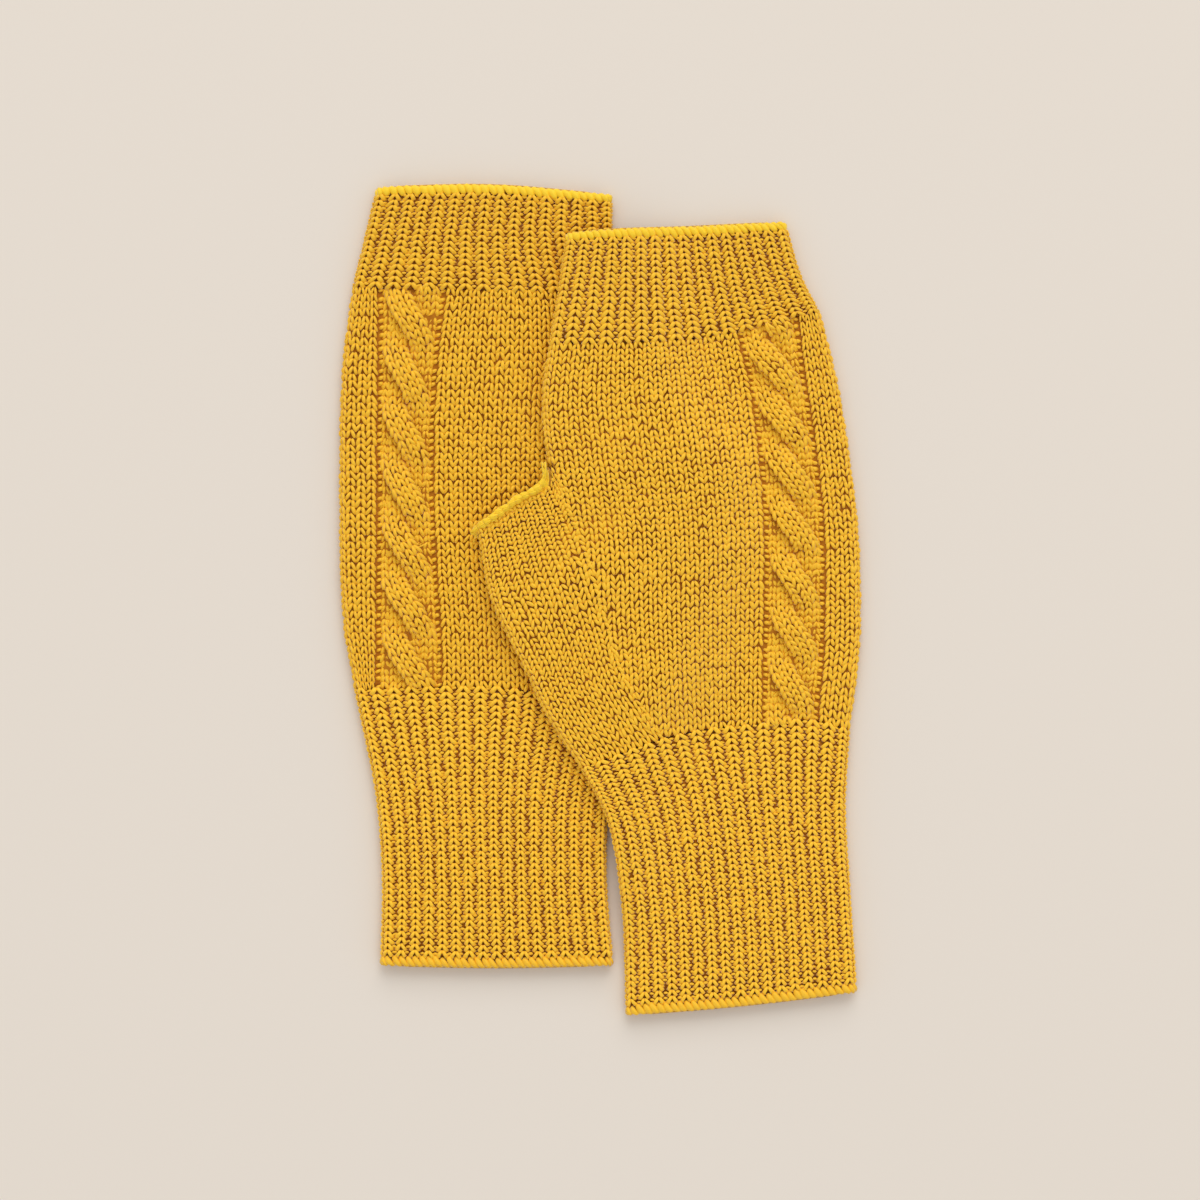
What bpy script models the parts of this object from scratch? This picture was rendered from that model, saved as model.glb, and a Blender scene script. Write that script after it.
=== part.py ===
"""A pair of fingerless mittens laid flat, the right one lying partly on the left one.

Lengths are millimetres in the tables and metres in the scene.  X runs across the pair, Y from the
wrists up to the fingers, Z up from the surface the pair rests on.  Each mitten is a flattened tube
with three openings: wrist, fingers and thumb.
"""
import bpy
import bmesh
import math
import numpy as np

for old in list(bpy.data.objects):
    bpy.data.objects.remove(old, do_unlink=True)

MM = 0.001
SEAM = 0.3            # space left where two knitted pieces meet
LAYER_GAP = 0.5       # space between the upper and the lower layer of a tube
WALL = 2.0            # plain knitted wall
HAND_HEIGHT = 4.5     # both layers of a hand with the space between them
CUFF_HEIGHT = 5.0     # both layers of a ribbed cuff at the ridges of the ribs
RIB_DEPTH = 0.9       # furrow between two ribs
GUTTER_DEPTH = 0.7    # purled column on each side of the cable
CABLE_RISE = 1.3      # strand of the cable over the plain knitting
WRIST_EDGE = 2.6      # height of the cast on edge at the wrist
FINGER_EDGE = 2.2     # height of the bound off edge at the fingers
THUMB_EDGE = 2.9      # width of the rolled edge of the thumb opening
FOLD_TURNS = (60, 30, 0, -30, -60)
WRIST_FURROWS = 16
FINGER_FURROWS = 15
PILE_HEIGHT = 5.35    # how high the right mitten lies where it covers the left one
SLOPE_LENGTH = 25.0   # the way it takes to come down to the surface beside it

# Rows of knitting from the wrist to the fingers.  Each row names its points from the cable side to
# the thumb side: outer fold, outer furrow of the cable, inner furrow, middle of the palm, start of
# the thumb gusset (the thumb side fold above the thumb), fold of the gusset.
LEFT_HAND_ROWS = [
    # outer fold,     outer furrow,   inner furrow,   palm,           gusset start,   gusset fold
    [(-75.7, -27.4), (-68.1, -27.4), (-49.4, -26.8), (-30.4, -27.1), (-20.0, -28.6), (11.5, -36.3)],
    [(-79.1, -7.2), (-67.8, -7.5), (-49.7, -7.5), (-26.5, -7.2), (-7.2, -7.5), (21.0, -18.5)],
    [(-80.0, 9.0), (-67.8, 8.7), (-50.9, 8.7), (-25.6, 8.7), (-0.8, 8.4), (25.9, -4.7)],
    [(-80.3, 32.3), (-67.5, 32.0), (-51.9, 32.0), (-24.0, 32.3), (3.8, 32.0), (33.8, 15.8)],
    [(-80.0, 58.6), (-67.5, 58.3), (-51.6, 58.0), (-19.7, 56.8), (13.3, 57.7)],
    [(-79.1, 75.1), (-67.2, 74.8), (-50.6, 74.8), (-19.1, 74.5), (13.6, 74.2)],
    [(-76.3, 96.2), (-67.2, 95.9), (-47.9, 95.6), (-21.3, 94.7), (9.9, 93.8)],
]
RIGHT_HAND_ROWS = [
    # outer fold,    outer furrow,  inner furrow,  palm,          gusset start,   gusset fold
    [(77.0, -40.2), (65.9, -37.2), (50.6, -38.1), (36.9, -39.3), (24.6, -41.2), (-6.0, -51.6)],
    [(80.0, -15.1), (67.8, -16.7), (50.9, -18.2), (29.2, -19.4), (9.9, -21.3), (-17.0, -34.7)],
    [(80.3, 1.4), (68.1, 0.2), (51.3, -1.4), (26.8, -3.5), (2.3, -6.0), (-23.1, -21.6)],
    [(79.4, 24.6), (67.8, 23.4), (51.3, 22.2), (23.4, 19.7), (-4.4, 17.0), (-32.9, -1.7)],
    [(76.0, 50.6), (65.0, 49.4), (49.4, 47.6), (17.0, 43.6), (-16.1, 41.8)],
    [(73.0, 68.1), (62.3, 66.9), (47.0, 64.7), (14.8, 61.4), (-17.9, 58.3)],
    [(67.8, 88.6), (59.8, 87.1), (43.0, 82.5), (13.9, 78.8), (-15.8, 78.2)],
]
# Edge of the hand round the thumb opening, from the crotch to the thumb side fold
LEFT_THUMB_RIM = [(11.4, 55.1), (11.1, 52.0), (11.6, 49.6), (14.0, 47.0), (19.7, 44.7),
                  (27.7, 40.8), (34.5, 37.1), (36.4, 36.1)]
RIGHT_THUMB_RIM = [(-13.9, 39.3), (-13.3, 36.3), (-13.6, 33.8), (-15.8, 31.1), (-21.3, 28.3),
                   (-28.9, 23.7), (-35.3, 19.4), (-37.2, 18.2)]
# Rows of the wrist cuff from the hem up: outer fold, middle, thumb side fold
LEFT_WRIST_ROWS = [
    [(-67.7, -112.4), (-31.4, -113.1), (4.4, -112.4)],
    [(-67.2, -85.5), (-32.0, -85.5), (2.3, -85.5)],
    [(-69.0, -61.0), (-32.9, -60.1), (3.2, -61.0)],
]
RIGHT_WRIST_ROWS = [
    [(79.2, -120.6), (43.6, -124.8), (7.7, -127.8)],
    [(77.0, -87.1), (40.9, -89.5), (6.3, -93.2)],
    [(75.7, -62.9), (38.7, -64.4), (2.3, -68.4)],
]
# Rows of the finger cuff above the hand: outer fold, middle, thumb side fold
LEFT_FINGER_ROWS = [
    [(-72.7, 110.9), (-33.5, 110.3), (4.7, 109.4)],
    [(-68.9, 127.0), (-33.5, 127.7), (4.1, 124.6)],
]
RIGHT_FINGER_ROWS = [
    [(62.3, 99.3), (24.6, 95.3), (-13.0, 95.0)],
    [(57.2, 116.3), (23.1, 114.6), (-10.5, 112.4)],
]
# Right side of the left mitten, where the right mitten begins to come down: x, y
PILE_SIDE = [(4.0, 140.0), (4.0, 124.0), (5.0, 109.0), (10.0, 94.0), (13.5, 76.0), (16.0, 62.0),
             (25.0, 50.0), (35.0, 38.0), (34.0, 16.0), (26.0, -5.0), (21.0, -18.5), (12.0, -36.0),
             (4.5, -54.0), (2.5, -86.0), (4.0, -113.0), (4.0, -140.0)]
PILE_FADE = (-73.0, -113.0)   # along Y the right cuff comes down to the surface beside the left one


def through(knots, values, at):
    """Smooth curve through the values at the knots, read at each number in at."""
    knots = np.asarray(knots, float)
    values = np.asarray(values, float)
    at = np.atleast_1d(np.asarray(at, float))
    slope = np.gradient(values, knots, axis=0)
    i = np.clip(np.searchsorted(knots, at, side="right") - 1, 0, len(knots) - 2)
    step = (knots[i + 1] - knots[i])[:, None]
    t = (at[:, None] - knots[i][:, None]) / step
    a = 2 * t ** 3 - 3 * t ** 2 + 1
    b = t ** 3 - 2 * t ** 2 + t
    c = -2 * t ** 3 + 3 * t ** 2
    d = t ** 3 - t ** 2
    return a * values[i] + b * step * slope[i] + c * values[i + 1] + d * step * slope[i + 1]


def chord_lengths(points):
    points = np.asarray(points, float)
    steps = np.linalg.norm(np.diff(points, axis=0), axis=1)
    return np.concatenate([[0.0], np.cumsum(steps)])


def smooth(t):
    t = np.clip(t, 0.0, 1.0)
    return t * t * (3 - 2 * t)


class Row:
    """One row of knitting as a curve in plan, read by its length from the outer fold."""

    def __init__(self, keys):
        knots = chord_lengths(keys)
        fine = through(knots, keys, np.linspace(0, knots[-1], 121))
        self.points = fine
        self.run = chord_lengths(fine)
        self.length = self.run[-1]
        self.key_run = np.interp(knots, np.linspace(0, knots[-1], 121), self.run)

    def at(self, lengths):
        x = np.interp(lengths, self.run, self.points[:, 0])
        y = np.interp(lengths, self.run, self.points[:, 1])
        return np.stack([x, y], axis=-1)


def pile_lift(points):
    """Height of the right mitten's underside over the surface at points in plan."""
    points = np.asarray(points, float).reshape(-1, 2)
    side = np.array(PILE_SIDE)
    start = side[:-1]
    way = side[1:] - start
    rel = points[:, None, :] - start[None, :, :]
    t = np.clip((rel * way).sum(-1) / (way * way).sum(-1), 0, 1)
    gap = np.linalg.norm(rel - t[..., None] * way, axis=-1).min(axis=1)
    border = np.interp(-points[:, 1], -side[:, 1], side[:, 0])
    gap = np.where(points[:, 0] > border, gap, -gap)
    lift = 1 - smooth((gap + 1.0) / SLOPE_LENGTH)
    fade = 1 - smooth((PILE_FADE[0] - points[:, 1]) / (PILE_FADE[0] - PILE_FADE[1]))
    return PILE_HEIGHT * lift * fade


def no_lift(points):
    return np.zeros(len(np.asarray(points).reshape(-1, 2)))


def layer_columns(plan, few, lift):
    """Lift at every point of a row, straight between the points that the inside shares."""
    run = chord_lengths(plan)
    return np.interp(run, run[few], lift(plan[few]))


def fold(edge, inset, lift, height, wall):
    """Outer and inner points round a fold: edge is its outermost point, inset its upper start."""
    base = float(lift(np.array([inset]))[0])
    r = height / 2
    outward = (edge - inset) / np.linalg.norm(edge - inset)
    out = []
    for turn in FOLD_TURNS:
        reach = inset + outward * r * math.cos(math.radians(turn))
        out.append((reach[0], reach[1], base + r + r * math.sin(math.radians(turn))))
    deep = inset + outward * (r - wall)
    inside = [(deep[0], deep[1], base + WALL + LAYER_GAP / 2)]
    return out, inside


def layers(plan, few, lift, relief, height):
    """Upper outer, lower outer, upper inner and lower inner points of one row between its folds."""
    base = layer_columns(plan, few, lift)
    upper = [(p[0], p[1], b + height + r) for p, b, r in zip(plan, base, relief)]
    lower = [(plan[i][0], plan[i][1], base[i]) for i in few]
    top_in = [(plan[i][0], plan[i][1], base[i] + WALL + LAYER_GAP) for i in few]
    low_in = [(plan[i][0], plan[i][1], base[i] + WALL) for i in few]
    return upper, lower, top_in, low_in


def add_points(bm, points):
    return [bm.verts.new((x * MM, y * MM, z * MM)) for x, y, z in points]


def wall_between(bm, a, b):
    """Faces between two rings of the same count."""
    n = len(a)
    for i in range(n):
        j = (i + 1) % n
        bm.faces.new((a[i], a[j], b[j], b[i]))


def rim_between(bm, a, b):
    """Faces between two rings of different counts that start side by side."""
    i = j = 0
    n, m = len(a), len(b)
    while i < n or j < m:
        ahead_a = (a[(i + 1) % n].co - b[j % m].co).length if i < n else 1e9
        ahead_b = (b[(j + 1) % m].co - a[i % n].co).length if j < m else 1e9
        if ahead_a <= ahead_b:
            bm.faces.new((a[i % n], a[(i + 1) % n], b[j % m]))
            i += 1
        else:
            bm.faces.new((a[i % n], b[(j + 1) % m], b[j % m]))
            j += 1


def finish_mesh(bm, name, colour, roughness):
    bmesh.ops.recalc_face_normals(bm, faces=bm.faces)
    mesh = bpy.data.meshes.new(name)
    bm.to_mesh(mesh)
    bm.free()
    mesh.shade_smooth()
    mesh.set_sharp_from_angle(angle=math.radians(40))
    obj =bpy.data.objects.new(name, mesh)
    bpy.context.scene.collection.objects.link(obj)
    mat = bpy.data.materials.new(name + "_yarn")
    mat.use_nodes = True
    shader = mat.node_tree.nodes["Principled BSDF"]
    shader.inputs["Base Color"].default_value = (*colour, 1.0)
    shader.inputs["Roughness"].default_value = roughness
    shader.inputs["Metallic"].default_value = 0.0
    mesh.materials.append(mat)
    return obj


def ring_of_row(row_plan, few, relief, ends, lift, height, wall):
    """Closed outer and inner rings of a row of a tube: ends are its two outermost points."""
    upper, lower, top_in, low_in = layers(row_plan, few, lift, relief, height)
    out_a, in_a = fold(ends[0], row_plan[0], lift, height, wall)
    out_b, in_b = fold(ends[1], row_plan[-1], lift, height, wall)
    outer = out_a[2::-1] + upper + out_b + lower[::-1] + out_a[:2:-1]
    inner = in_a + top_in + in_b + low_in[::-1]
    return outer, inner


def rib_relief(length, inset, furrows):
    """Lengths along a row and heights there for the ridges and furrows of a one by one rib."""
    first = inset + 2.0
    last = length - inset - 1.6
    pitch = (last - first) / (furrows - 1)
    marks = [inset]
    heights = [0.0]
    for k in range(furrows):
        centre = first + k * pitch
        for off, deep in ((-0.27, 0), (-0.11, 1), (0.11, 1), (0.27, 0)):
            marks.append(centre + off * pitch)
            heights.append(-RIB_DEPTH * deep)
    marks.append(length - inset)
    heights.append(0.0)
    return np.array(marks), np.array(heights)


def section_rows(key_rows, levels):
    """Rows between key rows, at levels given as lengths along the middle of the tube."""
    rows = [Row(keys) for keys in key_rows]
    middle = chord_lengths([row.at(row.length / 2) for row in rows])
    samples = np.linspace(0, 1, 25)
    grid = np.array([row.at(samples * row.length) for row in rows])
    made = []
    for level in levels:
        flat = through(middle, grid.reshape(len(rows), -1), [level])[0].reshape(-1, 2)
        made.append(Row(flat))
    return made, middle[-1]


def cuff(name, key_rows, furrows, low, high, count, lift, colour):
    """Ribbed tube between two levels of its key rows, measured from their two ends."""
    _, total = section_rows(key_rows, [0.0])
    rows, _ = section_rows(key_rows, np.linspace(low, total - high, count))
    inset = CUFF_HEIGHT / 2
    bm = bmesh.new()
    outer_rings = []
    inner_rings = []
    for row in rows:
        marks, relief = rib_relief(row.length, inset, furrows)
        plan = row.at(marks)
        few = [0] + list(range(2, len(marks) - 2, 8)) + [len(marks) - 1]
        ends = (row.at(0.0), row.at(row.length))
        outer, inner = ring_of_row(plan, few, relief, ends, lift, CUFF_HEIGHT, WALL)
        outer_rings.append(add_points(bm, outer))
        inner_rings.append(add_points(bm, inner))
    for a, b in zip(outer_rings, outer_rings[1:]):
        wall_between(bm, a, b)
    for a, b in zip(inner_rings, inner_rings[1:]):
        wall_between(bm, a, b)
    rim_between(bm, outer_rings[0], inner_rings[0])
    rim_between(bm, outer_rings[-1], inner_rings[-1])
    return finish_mesh(bm, name, colour, 0.9)


def edge_band(name, key_rows, from_low_end, width, lift, colour):
    """Plain rounded edge at one end of a ribbed cuff."""
    _, total = section_rows(key_rows, [0.0])
    near, middle, far = width, width * 0.45, 0.0
    levels = [near, middle, far]
    if not from_low_end:
        levels = [total - v for v in levels]
    rows, _ = section_rows(key_rows, levels)
    inset = CUFF_HEIGHT / 2
    bm = bmesh.new()
    outer_rings = []
    inner_rings = []
    trims = (0.0, 0.1, 1.3)
    drops = (0.35, 0.1, 0.85)
    for row, trim, drop in zip(rows, trims, drops):
        height = CUFF_HEIGHT - drop
        marks = np.linspace(inset + trim, row.length - inset - trim, 14)
        plan = row.at(marks)
        if trim > 1:
            back = rows[1].at(marks)
            plan[0] += (back[0] - plan[0]) * 0.35
            plan[-1] += (back[-1] - plan[-1]) * 0.35
        few = list(range(len(marks)))
        tip = row.length
        ends = (plan[0] + row.at(0.0) - row.at(1.0), plan[-1] + row.at(tip) - row.at(tip - 1.0))
        outer, inner = ring_of_row(plan, few, np.zeros(len(marks)), ends, lift, height, WALL - 0.3)
        outer_rings.append(add_points(bm, outer))
        if row is not rows[1]:
            inner_rings.append(add_points(bm, inner))
    for a, b in zip(outer_rings, outer_rings[1:]):
        wall_between(bm, a, b)
    wall_between(bm, inner_rings[0], inner_rings[1])
    rim_between(bm, outer_rings[0], inner_rings[0])
    rim_between(bm, outer_rings[-1], inner_rings[-1])
    return finish_mesh(bm, name, colour, 0.88)


CABLE_ACROSS = np.array([0.12, 0.26, 0.42, 0.58, 0.74, 0.88])


def cable_relief(across, along, shift, twist):
    """Height of a rope of two strands over the plain knitting: along counts its crossings."""
    phase = along - shift
    part = phase - math.floor(phase)
    swing = smooth((part - 0.15) / 0.7)
    if twist < 0:
        over = 0.27 + 0.46 * (1 - swing)
    else:
        over = 0.27 + 0.46 * swing
    under = 1.0 - over
    dive = math.sin(math.pi * part) ** 2
    high = math.exp(-((across - over) / 0.20) ** 2)
    low = math.exp(-((across - under) / 0.20) ** 2) * (1 - 0.75 * dive)
    return CABLE_RISE * max(high, low) - 0.15


def hand(name, key_rows, rim, low_count, high_count, cable, lift, colour):
    """Plain knitted tube with a cable and a thumb gusset that ends in the thumb opening."""
    inset = HAND_HEIGHT / 2
    crotch = 4
    rows = [Row(keys[:5] if k >= crotch else keys) for k, keys in enumerate(key_rows)]
    rim_row = Row(rim)
    gutter = 1.5
    palm_parts = 8
    gusset_parts = 6
    commons = []
    gussets = []
    cable_mid = []
    for k, row in enumerate(rows):
        s_fold, s_out, s_in, _, s_gus = row.key_run[:5]
        last = s_gus if k < crotch else s_gus - inset
        marks = [0.0, inset, (inset + s_out - gutter) / 2, s_out - gutter, s_out]
        marks += list(s_out + (s_in - s_out) * CABLE_ACROSS)
        marks += [s_in, s_in + gutter]
        marks += list(np.linspace(s_in + gutter, last, palm_parts + 1)[1:])
        commons.append(row.at(np.array(marks)))
        cable_mid.append(row.at((s_out + s_in) / 2))
        if k < crotch:
            marks = np.linspace(last, row.length - inset, gusset_parts + 1)[1:]
            gussets.append(row.at(np.append(marks, row.length)))
        elif k == crotch:
            marks = np.linspace(0, rim_row.length - inset, gusset_parts + 1)[1:]
            gussets.append(rim_row.at(np.append(marks, rim_row.length)))
            commons[-1][-1] = rim_row.at(0.0)
    ends = []
    for k in range(crotch, len(rows)):
        ends.append(rows[k].at(rows[k].length) - commons[k][-1])
    run = chord_lengths(cable_mid)
    levels = np.concatenate([np.linspace(0, run[crotch], low_count + 1),
                             np.linspace(run[crotch], run[-1], high_count + 1)[1:]])
    levels[0] += SEAM / 2
    levels[-1] -= SEAM / 2
    n = commons[0].shape[0]
    common = through(run, np.array(commons).reshape(len(rows), -1), levels).reshape(-1, n, 2)
    g = gussets[0].shape[0]
    gusset = through(run[:crotch + 1], np.array(gussets).reshape(crotch + 1, -1),
                     levels[:low_count + 1]).reshape(-1, g, 2)
    tips = through(run[crotch:], np.array(ends), levels[low_count:])
    period, shift, twist = cable
    few = [0, 3, 6, 9] + list(range(12, n - 1))
    few_gusset = [1, 3, 5]
    bm = bmesh.new()
    out_common = []
    in_rows = []
    for k, level in enumerate(levels):
        plan = common[k][1:]
        lower_part = k <= low_count
        relief = np.zeros(len(plan))
        relief[3] = -GUTTER_DEPTH
        relief[10] = -GUTTER_DEPTH
        for c in range(6):
            relief[4 + c] = cable_relief(CABLE_ACROSS[c], level / period, shift, twist)
        relief[4] -= 0.2
        relief[9] -= 0.2
        up, low, top_in, low_in = layers(plan, few, lift, relief, HAND_HEIGHT)
        fold_out, fold_in = fold(common[k][0], plan[0], lift, HAND_HEIGHT, WALL)
        item = {"top": add_points(bm, fold_out[2::-1] + up),
                "low": add_points(bm, fold_out[3:] + low)}
        inner_item = {"top": fold_in + top_in, "low": low_in}
        if lower_part:
            gplan = np.vstack([plan[-1:], gusset[k][:-1]])
            gfew = [0] + [i + 1 for i in few_gusset]
            gup, glow, gtop, glow_in = layers(gplan, gfew, lift, np.zeros(len(gplan)), HAND_HEIGHT)
            fold_out, fold_in = fold(gusset[k][-1], gplan[-1], lift, HAND_HEIGHT, WALL)
            item["g_top"] = add_points(bm, gup[1:] + fold_out[:3])
            item["g_low"] = add_points(bm, glow[1:] + fold_out[:2:-1])
            inner_item["g_top"] = gtop[1:] + fold_in
            inner_item["g_low"] = glow_in[1:]
        if k >= low_count:
            edge = plan[-1] + tips[k - low_count]
            fold_out, fold_in = fold(edge, plan[-1], lift, HAND_HEIGHT, WALL)
            item["arc"] = add_points(bm, fold_out)
            inner_item["arc"] = fold_in
        out_common.append(item)
        in_rows.append(inner_item)

    def low_ring(it):
        return it["top"] + it["g_top"] + it["g_low"][::-1] + it["low"][::-1]

    def high_ring(it):
        return it["top"] + it["arc"] + it["low"][::-1]

    def thumb_ring(it):
        half = len(it["arc"]) // 2
        start = it["arc"][half::-1] + [it["top"][-1]]
        return start + it["g_top"] + it["g_low"][::-1] + [it["low"][-1]] + it["arc"][:half:-1]

    for k in range(low_count):
        wall_between(bm, low_ring(out_common[k]), low_ring(out_common[k + 1]))
    for k in range(low_count, len(levels) - 1):
        wall_between(bm, high_ring(out_common[k]), high_ring(out_common[k + 1]))
    kept = list(range(0, low_count, 2)) + [low_count] + list(range(low_count + 2, len(levels) - 1, 2))
    kept += [len(levels) - 1]
    inner = {}
    for k in kept:
        inner[k] = {part: add_points(bm, pts) for part, pts in in_rows[k].items()}
    for a, b in zip(kept, kept[1:]):
        ring = low_ring if b <= low_count else high_ring
        wall_between(bm, ring(inner[a]), ring(inner[b]))
    top = len(levels) - 1
    rim_between(bm, low_ring(out_common[0]), low_ring(inner[0]))
    rim_between(bm, high_ring(out_common[top]), high_ring(inner[top]))
    start_out = thumb_ring(out_common[low_count])
    start_in = thumb_ring(inner[low_count])
    rim_between(bm, start_out, start_in)
    rim_out = [np.array(v.co) / MM for v in start_out]
    rim_in = [np.array(v.co) / MM for v in start_in]
    finish_mesh(bm, name, colour, 0.9)
    return rim_row, rim_out, rim_in


def thumb_band(name, rim_row, rim_out, rim_in, lift, colour):
    """Rolled edge round the thumb opening, beside the rim of the hand."""
    inset = HAND_HEIGHT / 2
    run = rim_row.run
    slope = (rim_row.at(np.clip(run + 1.5, 0, run[-1])) - rim_row.at(np.clip(run - 1.5, 0, run[-1])))
    normal = np.stack([slope[:, 1], -slope[:, 0]], axis=1)
    normal /= np.linalg.norm(normal, axis=1)[:, None]
    if normal[-1][1] < 0:
        normal = -normal
    crotch = np.array([math.copysign(0.86, normal[0][0]), -0.51])

    def guide(point):
        gaps = np.linalg.norm(rim_row.points - point[:2], axis=1)
        i = int(np.argmin(gaps))
        way = normal[i]
        middle = point[:2]
        if i == 0 and gaps[0] > 0.01:
            part = min(1.0, gaps[0] / inset)
            way = way * (1 - part) + crotch * part
            way = way / np.linalg.norm(way) * (1 - 0.3 * part)
            middle = rim_row.points[0]
        elif run[i] > rim_row.length - inset:
            middle = rim_row.at(rim_row.length - inset)
        base = float(lift(np.array([middle]))[0])
        centre = np.array([middle[0], middle[1], base + inset])
        inward = centre - point
        inward = inward / np.linalg.norm(inward)
        return np.array([way[0], way[1], 0.0]), inward

    bm = bmesh.new()
    outer_rings = []
    inner_rings = []
    for reach, sink in ((0.0, 0.0), (0.5, -0.2), (1.0, 0.55)):
        ring = []
        for p in rim_out:
            way, inward = guide(p)
            into = sink if sink > 0 or inward[2] < 0.5 else 0.0
            q = p + way * (SEAM + reach * THUMB_EDGE) + inward * into
            ring.append(tuple(q))
        outer_rings.append(add_points(bm, ring))
    for reach in (0.0, 1.0):
        ring = [tuple(p + guide(p)[0] * (SEAM + reach * THUMB_EDGE)) for p in rim_in]
        inner_rings.append(add_points(bm, ring))
    for a, b in zip(outer_rings, outer_rings[1:]):
        wall_between(bm, a, b)
    wall_between(bm, inner_rings[0], inner_rings[1])
    rim_between(bm, outer_rings[0], inner_rings[0])
    rim_between(bm, outer_rings[-1], inner_rings[-1])
    return finish_mesh(bm, name, colour, 0.88)


mittens = (
    ("left", LEFT_HAND_ROWS, LEFT_THUMB_RIM, LEFT_WRIST_ROWS, LEFT_FINGER_ROWS, no_lift,
     32, 14, (17.4, 0.16, -1), (0.60, 0.36, 0.06)),
    ("right", RIGHT_HAND_ROWS, RIGHT_THUMB_RIM, RIGHT_WRIST_ROWS, RIGHT_FINGER_ROWS, pile_lift,
     33, 14, (16.2, 0.40, 1), (0.64, 0.39, 0.07)),
)
for side, hand_rows, rim, wrist_rows, finger_rows, lift, low_n, high_n, cable, colour in mittens:
    knit = tuple(c * 0.97 for c in colour)
    rim_parts = hand(side + "_hand", hand_rows, rim, low_n, high_n, cable, lift, colour)
    thumb_band(side + "_thumb_edge", *rim_parts, lift, knit)
    wrist_keys = wrist_rows + [hand_rows[0]]
    finger_keys = [hand_rows[-1]] + finger_rows
    cuff(side + "_wrist_cuff", wrist_keys, WRIST_FURROWS, WRIST_EDGE + SEAM, SEAM / 2, 7, lift, knit)
    cuff(side + "_finger_cuff", finger_keys, FINGER_FURROWS, SEAM / 2, FINGER_EDGE + SEAM, 4, lift, knit)
    edge_band(side + "_wrist_edge", wrist_keys, True, WRIST_EDGE, lift, knit)
    edge_band(side + "_finger_edge", finger_keys, False, FINGER_EDGE, lift, knit)
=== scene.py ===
import math
import bpy
import bmesh
import numpy as np
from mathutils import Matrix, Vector
from mathutils.bvhtree import BVHTree


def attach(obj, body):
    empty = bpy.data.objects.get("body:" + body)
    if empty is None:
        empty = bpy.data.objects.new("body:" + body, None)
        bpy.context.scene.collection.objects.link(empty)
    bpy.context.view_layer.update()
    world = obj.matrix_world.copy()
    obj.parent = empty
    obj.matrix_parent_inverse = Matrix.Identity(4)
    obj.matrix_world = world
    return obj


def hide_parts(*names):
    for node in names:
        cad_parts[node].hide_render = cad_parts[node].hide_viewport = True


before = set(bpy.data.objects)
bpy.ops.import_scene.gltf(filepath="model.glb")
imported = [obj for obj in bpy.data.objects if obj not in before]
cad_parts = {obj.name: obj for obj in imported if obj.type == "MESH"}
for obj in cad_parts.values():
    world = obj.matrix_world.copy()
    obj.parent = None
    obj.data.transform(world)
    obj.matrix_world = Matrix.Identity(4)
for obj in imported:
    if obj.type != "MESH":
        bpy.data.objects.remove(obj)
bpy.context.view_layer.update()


# ---- Fabric of both mittens ----
# The knitted wall itself, as it is between and behind the stitches: a flattened tube for each hand,
# ribbed tubes at the wrist and the fingers, and a rolled band at the thumb.  It is wool yarn
# knitted in the round, about two millimetres thick with the stitches that lie over it.
MM = 0.001
NODES = ("hand", "wrist_cuff", "finger_cuff", "wrist_edge", "finger_edge", "thumb_edge")
YARN_SINK = 1.15      # how far the fabric is drawn in, which leaves room for the stitches
EDGE_SINK = 0.8       # the same under the strands of the edges
PILE_HEIGHT = 5.35    # how high the right mitten lies where it covers the left one
SLOPE_LENGTH = 25.0   # the way it takes to come down to the surface beside it
HAND_HEIGHT = 4.5
UPPER_LAYER = 2.6     # skin higher than this over the underside belongs to the upper layer
CABLE_BED = 0.25      # how much lower still that layer is held, so that no solid ridge shows
# right side of the left mitten, where the right mitten begins to come down, in millimetres
PILE_SIDE = [(4.0, 140.0), (4.0, 124.0), (5.0, 109.0), (10.0, 94.0), (13.5, 76.0), (16.0, 62.0),
             (25.0, 50.0), (35.0, 38.0), (34.0, 16.0), (26.0, -5.0), (21.0, -18.5), (12.0, -36.0),
             (4.5, -54.0), (2.5, -86.0), (4.0, -113.0), (4.0, -140.0)]
# Soft hills and hollows of cloth that has been worn: place, reach along and across, turn, height
LEFT_SWELLS = [((-20.0, 20.0), (26.0, 14.0), 10, 0.35), ((-12.0, 62.0), (18.0, 9.0), -20, -0.3),
               ((-30.0, -14.0), (20.0, 10.0), 15, -0.3), ((-35.0, -75.0), (26.0, 16.0), 5, 0.3)]
RIGHT_SWELLS = [((28.0, 42.0), (20.0, 13.0), 20, 0.65), ((0.0, 22.0), (24.0, 7.0), 32, -0.55),
                ((4.0, 8.0), (20.0, 8.0), 35, 0.35), ((34.0, 4.0), (12.0, 22.0), 0, -0.4),
                ((20.0, -24.0), (20.0, 8.0), 15, 0.35), ((40.0, -80.0), (20.0, 24.0), 5, 0.3)]
SWELLS = {"left": LEFT_SWELLS, "right": RIGHT_SWELLS}


def smooth(t):
    t = np.clip(t, 0.0, 1.0)
    return t * t * (3 - 2 * t)


def distance_to(points, line):
    """Distance of points in plan to a line of straight pieces."""
    line = np.array(line, float)
    start = line[:-1]
    way = line[1:] - start
    rel = points[..., None, :] - start
    t = np.clip((rel * way).sum(-1) / (way * way).sum(-1), 0, 1)
    return np.linalg.norm(rel - t[..., None] * way, axis=-1).min(axis=-1)


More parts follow.
